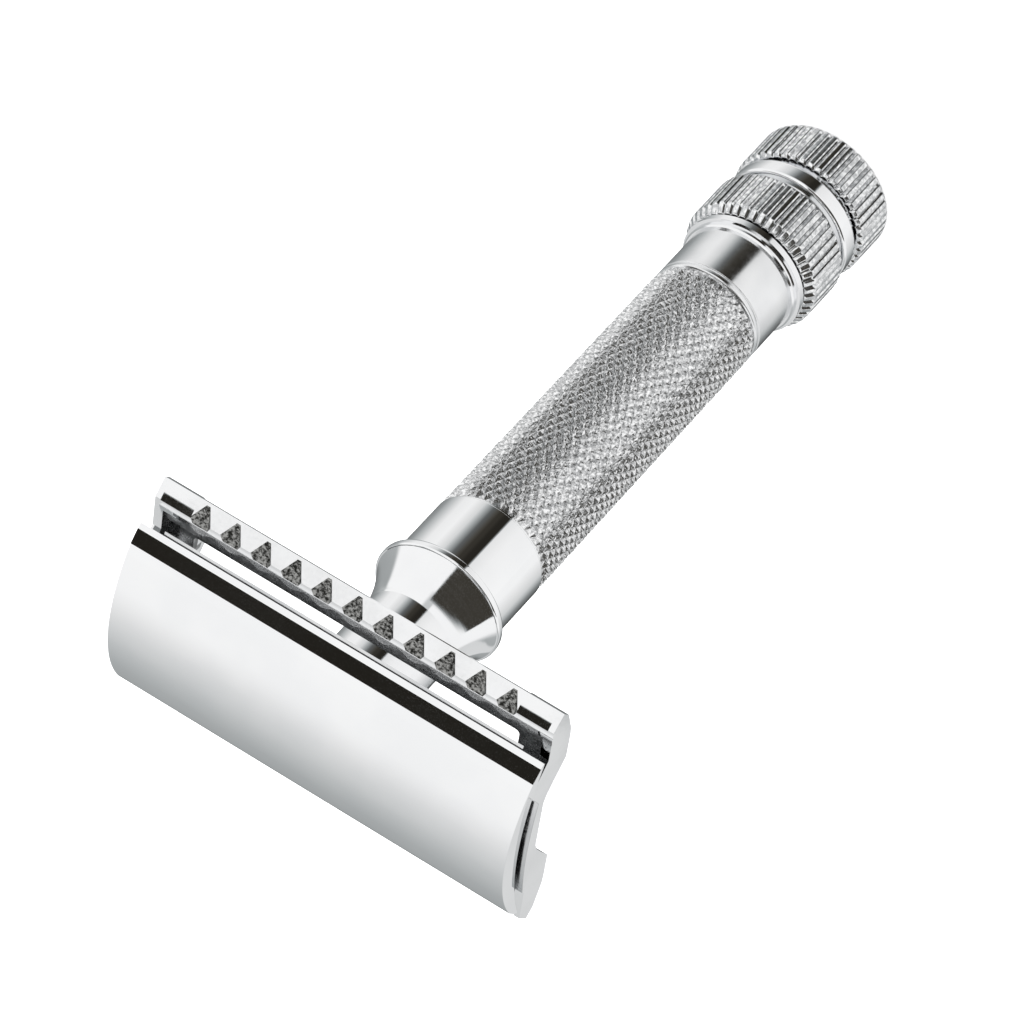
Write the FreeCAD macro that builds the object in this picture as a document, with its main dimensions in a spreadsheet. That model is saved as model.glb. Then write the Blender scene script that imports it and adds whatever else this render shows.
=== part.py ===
import FreeCAD, Part
import Sketcher
import math
import os
import re

# A two-piece double-edge safety razor, in millimetres. It stands on the flat end of its knob: +Z runs
# up the handle to the crown of the cap, X runs along the blade and Y across it.

SIZES = {
    # heights of the main stations above the flat end of the knob
    "crown_height": 85.5,
    "rim_height": 64.1,
    "collar_height": 56.8,
    "knurl_height": 21.35,
    "tail_height": 15.3,
    "knob_height": 13.7,
    # cap
    "cap_length": 42.0,
    "cap_half_width": 10.63,
    "cap_radius": 18.32,
    "cap_bevel": 1.06,
    "cap_bevel_drop": 0.92,
    "cap_lip": 0.54,
    "cap_lip_width": 0.35,
    "cap_land": 0.6,
    "cap_land_rise": 0.18,
    "cap_thickness": 2.0,
    "cap_hollow_radius": 29.3,
    "cap_skin": 0.8,
    "boss_radius": 3.9,
    # blade, a standard double-edge blade bent over the plate
    "blade_length": 43.0,
    "blade_half_chord": 10.89,
    "blade_thickness": 0.1,
    "blade_bend": 38.0,
    "blade_depth": 2.5,
    "blade_edge_length": 37.3,
    "blade_tab_width": 12.6,
    "blade_slot_width": 2.8,
    "blade_slot_length": 28.0,
    "blade_eye_radius": 3.0,
    "blade_pin_eye_radius": 1.9,
    "blade_gap": 0.08,
    # guard plate
    "plate_length": 41.5,
    "plate_half_width": 14.5,
    "plate_underside": 5.75,
    "rim_depth": 5.22,
    "bar_inner": 11.87,
    "bar_crest": 13.12,
    "bar_foot_depth": 6.55,
    "bar_base_depth": 7.0,
    "shelf_inner": 10.62,
    "shelf_depth": 5.64,
    "tray_inner": 9.8,
    "tray_depth": 6.3,
    "end_rim": 1.0,
    "end_seat_depth": 3.4,
    "end_seat_reach": 18.8,
    "block_depth": 8.35,
    "block_outer": 13.6,
    "block_outer_depth": 7.4,
    "block_inner": 7.0,
    "arch_width": 5.2,
    "arch_depth": 7.0,
    "arch_flat": 3.0,
    "slot_length": 34.0,
    "slot_inner": 6.4,
    "slot_outer": 9.4,
    "slot_corner": 0.5,
    "notch_count": 11,
    "notch_pitch": 3.18,
    "notch_depth": 0.4,
    "notch_fall": 1.85,
    "notch_floor": 1.05,
    "notch_flare": 1.0,
    "notch_rise": 2.0,
    "notch_length": 6.0,
    # neck, collar and grip
    "neck_radius": 4.6,
    "neck_bore": 3.7,
    "neck_step": 0.2,
    "neck_flare_length": 4.6,
    "neck_hollow": 12.0,
    "neck_root": 0.7,
    "neck_root_length": 3.0,
    "rim_radius": 6.6,
    "rim_width": 1.1,
    "collar_radius": 5.8,
    "knurl_radius": 5.8,
    "band_radius": 5.75,
    "neck_tail_radius": 4.9,
    "neck_tail_length": 6.3,
    "barrel_bore": 4.4,
    "tail_spigot_radius": 5.3,
    "tail_ring_radius": 6.42,
    "tail_step_radius": 6.1,
    # knob
    "knob_radius": 7.1,
    "knob_foot_round": 0.3,
    "knob_shoulder": 0.75,
    "band_chamfer": 0.25,
    "band_one_height": 8.0,
    "band_two_height": 4.8,
    "groove_radius": 5.9,
    "groove_ring_radius": 6.75,
    "groove_ring_edge": 0.1,
    "groove_ring_foot": 0.7,
    "groove_ring_width": 1.4,
    "groove_ring_lead": 0.2,
    "flute_count": 47,
    "flute_depth": 0.22,
    "flute_width": 0.38,
    "knob_gap": 0.15,
    "plug_radius": 3.3,
    "plug_thickness": 0.9,
    # draw gear inside the handle
    "stud_radius": 2.5,
    "thread_pitch": 0.8,
    "thread_root_radius": 2.05,
    "thread_overlap": 0.1,
    "stud_chamfer": 0.4,
    "shank_depth": 5.1,
    "stud_reach": 14.6,
    "pin_radius": 1.1,
    "pin_spacing": 22.0,
    "pin_reach": 5.1,
    "running_clearance": 0.05,
    "socket_radius": 3.15,
    "socket_length": 16.0,
    "socket_top_depth": 8.5,
    "socket_tail_radius": 1.9,
    "socket_tail_length": 5.5,
    "rod_radius": 2.5,
    "rod_foot_height": 3.2,
    "cross_pin_radius": 0.6,
    "spigot_reach": 8.2,
    "spigot_flange_radius": 4.6,
    "spigot_flange": 0.6,
    "bush_length": 8.0,
    "lower_bush_length": 6.0,
    "ring_thickness": 0.6,
    "ring_radius": 3.9,
    "ring_groove_radius": 2.1,
    "screw_radius": 1.25,
    "screw_head_radius": 2.3,
    "screw_head_height": 1.2,
    "screw_reach": 6.0,
    "washer_thickness": 0.3,
}

doc = FreeCAD.newDocument("safety_razor")
sheet = doc.addObject("Spreadsheet::Sheet", "Sizes")
for row, (alias, size) in enumerate(SIZES.items(), start=1):
    sheet.set(f"A{row}", alias)
    sheet.set(f"B{row}", str(size))
    sheet.setAlias(f"B{row}", alias)
doc.recompute()


def from_sheet(text):
    """Put the sheet's name before each size that an expression names."""
    return re.sub(r"[a-z_]+", lambda word: f"Sizes.{word[0]}" if word[0] in SIZES else word[0], str(text))


def number(text):
    """The present value of an expression."""
    return float(sheet.evalExpression(from_sheet(text)))


def bind(thing, property_name, text):
    """Drive one property of a feature from the sheet."""
    thing.setExpression(property_name, from_sheet(text))


def new_body(name):
    body = doc.addObject("PartDesign::Body", name)
    body.Label = name
    return body


def new_sketch(body, name, plane, offset=None):
    """A sketch on one of the body's own planes, moved along the plane's normal by an expression."""
    sketch = body.newObject("Sketcher::SketchObject", name)
    base = [item for item in body.Origin.OriginFeatures if item.Role == plane][0]
    sketch.AttachmentSupport = (base, [""])
    sketch.MapMode = "FlatFace"
    if offset is not None:
        bind(sketch, "AttachmentOffset.Base.z", offset)
    return sketch


def pin_point(sketch, side, end, across, up):
    """Fix one end of a side at a position measured from the sketch's origin."""
    for kind, axis, text in (("DistanceX", -2, across), ("DistanceY", -1, up)):
        distance = number(text)
        if abs(distance) < 1e-9:
            sketch.addConstraint(Sketcher.Constraint("PointOnObject", side, end, axis))
            continue
        if distance > 0:
            index = sketch.addConstraint(Sketcher.Constraint(kind, -1, 1, side, end, distance))
            bind(sketch, f"Constraints[{index}]", text)
        else:
            index = sketch.addConstraint(Sketcher.Constraint(kind, side, end, -1, 1, -distance))
            bind(sketch, f"Constraints[{index}]", f"-({text})")


def add_arc(sketch, start, finish, radius, turn):
    """An arc from start to finish. turn is 1 where its centre lies to the left of the way, else -1."""
    way = finish - start
    half = way.Length / 2
    left = FreeCAD.Vector(-way.y, way.x, 0).normalize()
    centre = start + way * 0.5 + left * turn * math.sqrt(radius ** 2 - half ** 2)
    first, last = (start, finish) if turn > 0 else (finish, start)
    begin = math.atan2(first.y - centre.y, first.x - centre.x)
    end = math.atan2(last.y - centre.y, last.x - centre.x)
    if end < begin:
        end += 2 * math.pi
    circle = Part.Circle(centre, FreeCAD.Vector(0, 0, 1), radius)
    return sketch.addGeometry(Part.ArcOfCircle(circle, begin, end), False)


def draw_outline(sketch, corners, arcs=None):
    """A closed outline through corners given as pairs of expressions. arcs turns a side, named by the
    number of its first corner, into an arc: its radius and the side that its centre lies on."""
    arcs = arcs or {}
    points = [FreeCAD.Vector(number(across), number(up), 0) for across, up in corners]
    sides = []
    for index, start in enumerate(points):
        finish = points[(index + 1) % len(points)]
        if index in arcs:
            radius, turn = arcs[index]
            side = add_arc(sketch, start, finish, number(radius), turn)
            sides.append((side, 1, 2) if turn > 0 else (side, 2, 1))
        else:
            side = sketch.addGeometry(Part.LineSegment(start, finish), False)
            sides.append((side, 1, 2))
    for index, (side, _, last) in enumerate(sides):
        following, first, _ = sides[(index + 1) % len(sides)]
        sketch.addConstraint(Sketcher.Constraint("Coincident", side, last, following, first))
    for index, (across, up) in enumerate(corners):
        pin_point(sketch, sides[index][0], sides[index][1], across, up)
    for index, (radius, _) in arcs.items():
        place = sketch.addConstraint(Sketcher.Constraint("Radius", sides[index][0], number(radius)))
        bind(sketch, f"Constraints[{place}]", radius)


def draw_circle(sketch, across, up, radius):
    """A circle whose centre and radius are expressions."""
    centre = FreeCAD.Vector(number(across), number(up), 0)
    circle = Part.Circle(centre, FreeCAD.Vector(0, 0, 1), number(radius))
    side = sketch.addGeometry(circle, False)
    pin_point(sketch, side, 3, across, up)
    place = sketch.addConstraint(Sketcher.Constraint("Radius", side, number(radius)))
    bind(sketch, f"Constraints[{place}]", radius)


def turn_profile(body, name, corners, arcs=None):
    """Solid of revolution about Z from an outline in the XZ plane."""
    sketch = new_sketch(body, f"{name}_profile", "XZ_Plane")
    draw_outline(sketch, corners, arcs)
    solid = body.newObject("PartDesign::Revolution", f"{name}_turned")
    solid.Profile = sketch
    solid.ReferenceAxis = (sketch, ["V_Axis"])
    solid.Angle = 360
    body.Tip = solid
    doc.recompute()
    return solid


def sweep_section(body, name, kind, sketch, length, both_ways=True):
    """Pad or pocket a sketch over a length, evenly to both sides of its plane or to one side."""
    feature = body.newObject(f"PartDesign::{kind}", name)
    feature.Profile = sketch
    bind(feature, "Length", length)
    feature.Midplane = both_ways
    body.Tip = feature
    doc.recompute()
    return feature


def tube(name, inner, outer, bottom, top):
    """A plain turned tube, or a rod where the inner radius is nothing."""
    body = new_body(name)
    corners = [(inner, bottom), (outer, bottom), (outer, top), (inner, top)]
    turn_profile(body, name, corners)
    return body


def drill(body, name, places, radius, bottom, top):
    """Round holes along Z between two heights."""
    sketch = new_sketch(body, f"{name}_plan", "XY_Plane", f"({bottom} + {top}) / 2")
    for across, up in places:
        draw_circle(sketch, across, up, radius)
    return sweep_section(body, name, "Pocket", sketch, f"{top} - ({bottom})")


# heights that several pieces share
BLADE_TOP = "crown_height - blade_depth"
BLADE_UNDER = "crown_height - blade_depth - blade_thickness"
PLATE_TOP = "crown_height - blade_depth - blade_thickness - blade_gap"
PLATE_UNDER = "crown_height - plate_underside"
RIM_LEVEL = "crown_height - rim_depth"
BOSS_FOOT = "crown_height - blade_depth + blade_gap"
SOCKET_TOP = "crown_height - socket_top_depth"
SOCKET_FOOT = "crown_height - socket_top_depth - socket_length"
RIM_TOP = "rim_height + rim_width"
STUD_FOOT = "crown_height - stud_reach"
BELOW_BLADE = "crown_height - plate_underside + 1"
BELOW_PLATE = "crown_height - block_depth - 1"
CAP_SEAT = "crown_height - cap_skin"
FLANGE_SEAT = PLATE_TOP + " - spigot_flange * 1.5"
PIN_PLACES = [("pin_spacing / 2", "0"), ("-pin_spacing / 2", "0")]


def arc_drop(radius, across):
    """How far an arc centred below has dropped at a distance from its middle."""
    return f"({radius} - sqrt(({radius})^2 - ({across})^2))"


def make_cap_plate():
    """Domed cap: bent section with a bevel and a steep lip along each edge, and a boss over the blade."""
    body = new_body("cap_plate")
    bevel_end = "cap_half_width - cap_lip_width"
    bevel_start = f"{bevel_end} - cap_bevel"
    shoulder = f"crown_height - {arc_drop('cap_radius', bevel_start)}"
    lip_foot = f"{shoulder} - cap_bevel_drop - cap_lip"
    right = [
        ("0", "crown_height"),
        (bevel_start, shoulder),
        (bevel_end, f"{shoulder} - cap_bevel_drop"),
        ("cap_half_width", lip_foot),
        ("cap_half_width - cap_land", f"{lip_foot} + cap_land_rise"),
        ("0", "crown_height - cap_thickness"),
    ]
    left = [(f"-({across})", up) for across, up in reversed(right[1:5])]
    section = new_sketch(body, "cap_section", "YZ_Plane")
    hollow = ("cap_hollow_radius", 1)
    arcs = {0: ("cap_radius", -1), 9: ("cap_radius", -1), 4: hollow, 5: hollow}
    draw_outline(section, right + left, arcs)
    sweep_section(body, "cap_shell", "Pad", section, "cap_length")
    boss = new_sketch(body, "boss_plan", "XY_Plane", BOSS_FOOT)
    draw_circle(boss, "0", "0", "boss_radius")
    sweep_section(body, "cap_boss", "Pad", boss, f"crown_height - cap_skin - ({BOSS_FOOT})", False)
    drill(body, "stud_seat", [("0", "0")], "stud_radius", BELOW_BLADE, CAP_SEAT)
    drill(body, "pin_seats", PIN_PLACES, "pin_radius", BELOW_BLADE, CAP_SEAT)
    return body


def make_cap_stud():
    """Threaded stud: plain shank in the cap, then a right-hand thread down to a chamfered end."""
    body = new_body("cap_stud")
    corners = [
        ("0", STUD_FOOT),
        ("thread_root_radius - stud_chamfer", STUD_FOOT),
        ("thread_root_radius", f"{STUD_FOOT} + stud_chamfer"),
        ("thread_root_radius", "crown_height - shank_depth - stud_chamfer"),
        ("stud_radius", "crown_height - shank_depth"),
        ("stud_radius", CAP_SEAT),
        ("0", CAP_SEAT),
    ]
    turn_profile(body, "stud", corners)
    ridge = new_sketch(body, "thread_form", "XZ_Plane")
    start = f"({STUD_FOOT} + thread_pitch * 0.75)"
    root = "thread_root_radius - thread_overlap"
    draw_outline(ridge, [
        (root, f"{start} - thread_pitch * 0.44"),
        ("stud_radius", f"{start} - thread_pitch * 0.08"),
        ("stud_radius", f"{start} + thread_pitch * 0.08"),
        (root, f"{start} + thread_pitch * 0.44"),
    ])
    helix = body.newObject("PartDesign::AdditiveHelix", "stud_thread")
    helix.Profile = ridge
    helix.ReferenceAxis = (ridge, ["V_Axis"])
    helix.Mode = 0
    bind(helix, "Pitch", "thread_pitch")
    bind(helix, "Height", "stud_reach - shank_depth - thread_pitch * 1.6")
    body.Tip = helix
    doc.recompute()
    return body


def make_cap_pins():
    """Two locating pins fixed in the cap; they pass through the blade into the guard plate."""
    body = new_body("cap_pins")
    plan = new_sketch(body, "pins_plan", "XY_Plane", "crown_height - pin_reach")
    for across, up in PIN_PLACES:
        draw_circle(plan, across, up, "pin_radius")
    sweep_section(body, "pins", "Pad", plan, "pin_reach - cap_skin", False)
    return body


def make_blade():
    """Double-edge blade, bent to the clamped curve, with end tabs and the long centre slot."""
    body = new_body("blade")
    edge_drop = arc_drop("blade_bend", "blade_half_chord")
    section = new_sketch(body, "blade_section", "YZ_Plane")
    corners = [
        ("blade_half_chord", f"{BLADE_UNDER} - {edge_drop}"),
        ("blade_half_chord", f"{BLADE_TOP} - {edge_drop}"),
        ("-blade_half_chord", f"{BLADE_TOP} - {edge_drop}"),
        ("-blade_half_chord", f"{BLADE_UNDER} - {edge_drop}"),
    ]
    draw_outline(section, corners, {1: ("blade_bend", 1), 3: ("blade_bend", -1)})
    sweep_section(body, "blade_strip", "Pad", section, "blade_length")
    trims = new_sketch(body, "tab_trims", "XY_Plane", BELOW_BLADE)
    for end in (1, -1):
        for side in (1, -1):
            draw_outline(trims, [
                (f"{end} * blade_edge_length / 2", f"{side} * blade_tab_width / 2"),
                (f"{end} * blade_length", f"{side} * blade_tab_width / 2"),
                (f"{end} * blade_length", f"{side} * blade_length / 2"),
                (f"{end} * blade_edge_length / 2", f"{side} * blade_length / 2"),
            ])
    sweep_section(body, "tabs", "Pocket", trims, "crown_height")
    slot = new_sketch(body, "slot_plan", "XY_Plane", BELOW_BLADE)
    half = "blade_slot_width / 2"
    reach = "blade_slot_length / 2"
    draw_outline(slot, [
        (f"-({reach})", f"-({half})"), (reach, f"-({half})"), (reach, half), (f"-({reach})", half),
    ])
    sweep_section(body, "centre_slot", "Pocket", slot, "crown_height")
    drill(body, "stud_eye", [("0", "0")], "blade_eye_radius", BELOW_BLADE, "crown_height")
    drill(body, "pin_eyes", PIN_PLACES, "blade_pin_eye_radius", BELOW_BLADE, "crown_height")
    return body


def make_base_plate():
    """Guard plate: crowned blade seat, a shallow tray inside raised bars and end rims, two lather slots in
    the tray, notches across the bars and deep end blocks below."""
    body = new_body("base_plate")
    seat_drop = arc_drop("blade_bend", "slot_inner")
    right = [
        ("0", PLATE_TOP),
        ("slot_inner", f"{PLATE_TOP} - {seat_drop}"),
        ("slot_outer", RIM_LEVEL),
        ("bar_crest", RIM_LEVEL),
        ("plate_half_width", "crown_height - bar_foot_depth"),
        ("block_outer", "crown_height - block_outer_depth"),
        ("(block_outer + block_inner) / 2", "crown_height - block_depth"),
        ("block_inner", "crown_height - block_depth"),
        ("arch_width", "crown_height - arch_depth"),
        ("arch_flat", PLATE_UNDER),
    ]
    left = [(f"-({across})", up) for across, up in reversed(right[1:])]
    section = new_sketch(body, "plate_section", "YZ_Plane")
    last = len(right + left) - 1
    draw_outline(section, right + left, {0: ("blade_bend", -1), last: ("blade_bend", -1)})
    sweep_section(body, "plate_blank", "Pad", section, "plate_length")
    cut_trays(body)
    cut_underside(body)
    cut_end_seats(body)
    cut_slots(body)
    drill(body, "stud_way", [("0", "0")], "neck_bore", BELOW_PLATE, "crown_height")
    drill(body, "flange_seat", [("0", "0")], "spigot_flange_radius", FLANGE_SEAT, "crown_height")
    drill(body, "pin_ways", PIN_PLACES, "pin_radius + running_clearance", BELOW_PLATE, "crown_height")
    cut_notches(body)
    return body


def cut_trays(body):
    """Hollow the plate between the seat and each bar, leaving a rim at both ends."""
    trays = new_sketch(body, "tray_section", "YZ_Plane")
    profile = [
        ("slot_inner", BLADE_TOP),
        ("slot_inner", "crown_height - tray_depth"),
        ("tray_inner", "crown_height - tray_depth"),
        ("shelf_inner", "crown_height - shelf_depth"),
        ("bar_inner", RIM_LEVEL),
        ("bar_inner", BLADE_TOP),
    ]
    for side in (1, -1):
        draw_outline(trays, [(f"{side} * ({across})", up) for across, up in profile])
    sweep_section(body, "trays", "Pocket", trays, "plate_length - end_rim * 2")


def cut_underside(body):
    """Thin the middle of the plate from below, so that only the end blocks keep the full depth."""
    relief = new_sketch(body, "relief_section", "YZ_Plane")
    step = "(slot_inner + slot_outer) / 2"
    right = [
        ("plate_half_width * 1.1", BELOW_PLATE),
        ("plate_half_width * 1.1", "crown_height - bar_base_depth"),
        (step, "crown_height - bar_base_depth"),
        (step, PLATE_UNDER),
    ]
    left = [(f"-({across})", up) for across, up in reversed(right)]
    draw_outline(relief, right + left)
    sweep_section(body, "underside_relief", "Pocket", relief, "slot_length")


def cut_end_seats(body):
    """Lower the seat at both ends, clear of the blade's tabs."""
    level = "crown_height - end_seat_depth"
    ends = new_sketch(body, "end_seat_plan", "XY_Plane", f"(crown_height + {level}) / 2")
    for end in (1, -1):
        near, far = f"{end} * end_seat_reach", f"{end} * plate_length"
        draw_outline(ends, [(near, "-slot_outer"), (far, "-slot_outer"), (far, "slot_outer"), (near, "slot_outer")])
    sweep_section(body, "end_seats", "Pocket", ends, "end_seat_depth")


def cut_slots(body):
    """Lather slots with rounded corners, one on each side of the seat."""
    slots = new_sketch(body, "slots_plan", "XY_Plane", BELOW_PLATE)
    corner = "slot_corner"
    reach = "slot_length / 2"
    for side in (1, -1):
        near, far = f"{side} * slot_inner", f"{side} * slot_outer"
        near_turn, far_turn = f"{side} * (slot_inner + {corner})", f"{side} * (slot_outer - {corner})"
        draw_outline(slots, [
            (f"-({reach} - {corner})", near), (f"{reach} - {corner}", near),
            (reach, near_turn), (reach, far_turn),
            (f"{reach} - {corner}", far), (f"-({reach} - {corner})", far),
            (f"-({reach})", far_turn), (f"-({reach})", near_turn),
        ], {1: (corner, side), 3: (corner, side), 5: (corner, side), 7: (corner, side)})
    sweep_section(body, "lather_slots", "Pocket", slots, "crown_height")


def cut_notches(body):
    """Tapered notches across each guard bar. Their floors slope down outwards, so each is widest at the
    crest and narrows to its mouth at the bar's outer edge."""
    floor_fall = number("notch_fall") / number("plate_half_width - bar_inner")
    slope = math.degrees(math.atan(floor_fall))
    for side, name in ((-1, "front"), (1, "back")):
        plan = new_sketch(body, f"{name}_notch_form", "XZ_Plane")
        tilt = FreeCAD.Rotation(FreeCAD.Vector(1, 0, 0), -side * slope)
        plan.AttachmentOffset = FreeCAD.Placement(FreeCAD.Vector(), tilt)
        bind(plan, "AttachmentOffset.Base.x", "-notch_pitch * (notch_count - 1) / 2")
        bind(plan, "AttachmentOffset.Base.y", f"{RIM_LEVEL} - notch_depth")
        bind(plan, "AttachmentOffset.Base.z", f"-({side}) * bar_crest")
        draw_outline(plan, [
            ("-notch_floor / 2", "0"),
            ("notch_floor / 2", "0"),
            ("notch_floor / 2 + notch_rise * notch_flare", "notch_rise"),
            ("-(notch_floor / 2 + notch_rise * notch_flare)", "notch_rise"),
        ])
        notch = sweep_section(body, f"{name}_notch", "Pocket", plan, "notch_length")
        row = body.newObject("PartDesign::LinearPattern", f"{name}_notches")
        row.Originals = [notch]
        row.Direction = ([item for item in body.Origin.OriginFeatures if item.Role == "X_Axis"][0], [""])
        bind(row, "Length", "notch_pitch * (notch_count - 1)")
        bind(row, "Occurrences", "notch_count")
        body.Tip = row
        doc.recompute()


def make_plate_spigot():
    """Flanged tube that rivets the guard plate onto the neck; the stud passes down it."""
    body = new_body("plate_spigot")
    inner = "stud_radius + 0.3"
    turn_profile(body, "spigot", [
        (inner, "crown_height - spigot_reach"),
        ("neck_bore", "crown_height - spigot_reach"),
        ("neck_bore", FLANGE_SEAT),
        ("spigot_flange_radius", FLANGE_SEAT),
        ("spigot_flange_radius", f"{FLANGE_SEAT} + spigot_flange"),
        (inner, f"{FLANGE_SEAT} + spigot_flange"),
    ])
    return body


def make_neck_cone():
    """Neck: slim under the plate, flaring in one hollow curve to the rim, with a tail in the grip."""
    body = new_body("neck_cone")
    turn_profile(body, "neck", [
        ("neck_bore", "rim_height - neck_tail_length"),
        ("neck_tail_radius", "rim_height - neck_tail_length"),
        ("neck_tail_radius", RIM_TOP),
        ("rim_radius - neck_step", RIM_TOP),
        ("neck_radius", f"{RIM_TOP} + neck_flare_length"),
        ("neck_radius", f"{PLATE_UNDER} - neck_root_length"),
        ("neck_radius + neck_root", PLATE_UNDER),
        ("neck_bore", PLATE_UNDER),
    ], {3: ("neck_hollow", -1), 5: ("neck_root_length", -1)})
    return body


def make_rim_ring():
    """Bright bead between the neck and the collar."""
    body = new_body("rim_ring")
    turn_profile(body, "rim", [
        ("neck_tail_radius", "rim_height"),
        ("(collar_radius + rim_radius) / 2", "rim_height"),
        ("rim_radius", "rim_height + rim_width / 2"),
        ("rim_radius", "rim_height + rim_width * 0.8"),
        ("rim_radius - neck_step", RIM_TOP),
        ("neck_tail_radius", RIM_TOP),
    ], {1: ("0.9", 1)})
    return body


def make_grip_barrel():
    """Grip tube: plain collar, knurled length, bead, smooth lower band and a spigot for the tail ring."""
    body = new_body("grip_barrel")
    turn_profile(body, "barrel", [
        ("barrel_bore", "knob_height + knob_gap"),
        ("tail_spigot_radius", "knob_height + knob_gap"),
        ("tail_spigot_radius", "tail_height"),
        ("band_radius", "tail_height"),
        ("band_radius", "knurl_height - 0.7"),
        ("band_radius - 0.2", "knurl_height - 0.55"),
        ("band_radius - 0.2", "knurl_height - 0.4"),
        ("knurl_radius", "knurl_height"),
        ("knurl_radius", "collar_height - 0.25"),
        ("collar_radius - 0.15", "collar_height - 0.15"),
        ("collar_radius - 0.15", "collar_height"),
        ("collar_radius", "collar_height + 0.15"),
        ("collar_radius", "rim_height"),
        ("neck_tail_radius", "rim_height"),
        ("neck_tail_radius", "rim_height - neck_tail_length"),
        ("barrel_bore", "rim_height - neck_tail_length"),
    ])
    return body


def make_tail_ring():
    """Two-step flange around the tail of the grip."""
    body = new_body("tail_ring")
    foot = "knob_height + knob_gap"
    turn_profile(body, "tail", [
        ("tail_spigot_radius", foot),
        ("tail_ring_radius - 0.15", foot),
        ("tail_ring_radius", f"{foot} + 0.15"),
        ("tail_ring_radius", "tail_height - 0.65"),
        ("tail_step_radius", "tail_height - 0.6"),
        ("tail_step_radius", "tail_height - 0.15"),
        ("tail_step_radius - 0.15", "tail_height"),
        ("tail_spigot_radius", "tail_height"),
    ])
    return body


def make_knob():
    """Knob: two fluted bands, a groove with a convex ring between them, and seats for its fixings."""
    body = new_body("knob")
    ring_foot = "band_two_height + groove_ring_foot"
    turn_profile(body, "knob", [
        ("plug_radius", "0"),
        ("knob_radius - knob_foot_round", "0"),
        ("knob_radius", "knob_foot_round"),
        ("knob_radius", "band_two_height - band_chamfer"),
        ("knob_radius - band_chamfer", "band_two_height"),
        ("groove_radius", "band_two_height + groove_ring_edge"),
        ("groove_radius", ring_foot),
        ("groove_ring_radius - groove_ring_edge", f"{ring_foot} + groove_ring_lead"),
        ("groove_ring_radius - groove_ring_edge", f"{ring_foot} + groove_ring_width - groove_ring_lead"),
        ("groove_radius", f"{ring_foot} + groove_ring_width"),
        ("groove_radius", "band_one_height - groove_ring_edge"),
        ("knob_radius - band_chamfer", "band_one_height"),
        ("knob_radius", "band_one_height + band_chamfer"),
        ("knob_radius", "knob_height - knob_shoulder"),
        ("tail_ring_radius + groove_ring_edge", "knob_height"),
        ("rod_radius", "knob_height"),
        ("rod_radius", "rod_foot_height"),
        ("screw_radius", "rod_foot_height"),
        ("screw_radius", "plug_thickness + screw_head_height"),
        ("screw_head_radius", "plug_thickness + screw_head_height"),
        ("screw_head_radius", "plug_thickness"),
        ("plug_radius", "plug_thickness"),
    ], {1: ("knob_foot_round", 1), 7: ("0.8", 1)})
    plan = new_sketch(body, "flute_plan", "XY_Plane", "0")
    draw_outline(plan, [
        ("knob_radius - flute_depth", "-flute_width * 0.3"),
        ("knob_radius + 0.3", "-flute_width * 0.75"),
        ("knob_radius + 0.3", "flute_width * 0.75"),
        ("knob_radius - flute_depth", "flute_width * 0.3"),
    ])
    flute = body.newObject("PartDesign::Pocket", "flute")
    flute.Profile = plan
    flute.Reversed = True
    bind(flute, "Length", "knob_height")
    body.Tip = flute
    doc.recompute()
    ring = body.newObject("PartDesign::PolarPattern", "flutes")
    ring.Originals = [flute]
    ring.Axis = ([item for item in body.Origin.OriginFeatures if item.Role == "Z_Axis"][0], [""])
    ring.Angle = 360
    bind(ring, "Occurrences", "flute_count")
    body.Tip = ring
    doc.recompute()
    return body


def make_draw_rod():
    """Rod from the knob up to the socket, grooved for its retaining ring and bored for the knob's screw."""
    body = new_body("draw_rod")
    shoulder = SOCKET_FOOT
    ring_foot = "tail_height + lower_bush_length + knob_gap"
    turn_profile(body, "rod", [
        ("screw_radius", "rod_foot_height"),
        ("rod_radius", "rod_foot_height"),
        ("rod_radius", ring_foot),
        ("ring_groove_radius", ring_foot),
        ("ring_groove_radius", f"{ring_foot} + ring_thickness"),
        ("rod_radius", f"{ring_foot} + ring_thickness"),
        ("rod_radius", shoulder),
        ("socket_tail_radius", shoulder),
        ("socket_tail_radius", f"{shoulder} + socket_tail_length"),
        ("0", f"{shoulder} + socket_tail_length"),
        ("0", "rod_foot_height + screw_reach"),
        ("screw_radius", "rod_foot_height + screw_reach"),
    ])
    cross_bore(body, "rod_cross_bore")
    return body


def cross_bore(body, name):
    """Bore across X for the pin that ties the rod to its socket."""
    plan = new_sketch(body, f"{name}_plan", "YZ_Plane")
    draw_circle(plan, "0", f"{SOCKET_FOOT} + socket_tail_length / 2", "cross_pin_radius")
    sweep_section(body, name, "Pocket", plan, "socket_radius * 3")


def make_draw_socket():
    """Long nut on top of the rod that takes the cap's stud."""
    body = new_body("draw_socket")
    turn_profile(body, "socket", [
        ("socket_tail_radius", SOCKET_FOOT),
        ("socket_radius", SOCKET_FOOT),
        ("socket_radius", f"{SOCKET_TOP} - 0.15"),
        ("socket_radius - 0.15", SOCKET_TOP),
        ("stud_radius + running_clearance", SOCKET_TOP),
        ("stud_radius + running_clearance", f"{STUD_FOOT} - 0.6"),
        ("0", f"{STUD_FOOT} - 0.6"),
        ("0", f"{SOCKET_FOOT} + socket_tail_length"),
        ("socket_tail_radius", f"{SOCKET_FOOT} + socket_tail_length"),
    ])
    cross_bore(body, "socket_cross_bore")
    return body


def make_socket_pin():
    """Cross pin through the socket and the rod, ground flush with the socket."""
    body = new_body("socket_pin")
    plan = new_sketch(body, "socket_pin_plan", "YZ_Plane")
    draw_circle(plan, "0", f"{SOCKET_FOOT} + socket_tail_length / 2", "cross_pin_radius")
    sweep_section(body, "pin_length", "Pad", plan, "(socket_radius - 0.08) * 2")
    return body


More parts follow.
